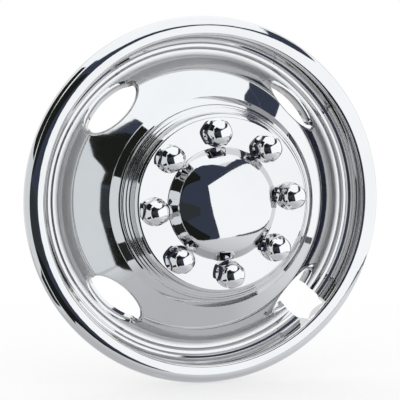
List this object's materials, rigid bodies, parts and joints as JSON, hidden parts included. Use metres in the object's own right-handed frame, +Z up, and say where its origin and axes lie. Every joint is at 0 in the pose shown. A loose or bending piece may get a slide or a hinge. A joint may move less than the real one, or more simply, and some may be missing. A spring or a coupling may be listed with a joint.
{
  "type": "truck wheel simulator",
  "caption": "Pressed stainless wheel simulator for a truck wheel: rolled rim, deep groove, bulged disc with oval hand holes, valve notch, domed hub and acorn lug-nut caps.",
  "frame": {"origin": "on the wheel's axis, in the plane where the rim's turned-in lip seats against the wheel", "axes": "+Y along the wheel's axis towards the wheel, so the shown face looks along -Y; +Z up as pictured; +X to the right as the face is seen"},
  "size_m": [0.4439, 0.125, 0.444],
  "materials": {
    "polished_stainless": "mirror-polished stainless sheet",
    "chrome_caps": "bright chrome plate"
  },
  "bodies": {
    "root": {"wheel_liner": "polished_stainless", "lug_nut_caps": "chrome_caps"}
  },
  "joints": []
}
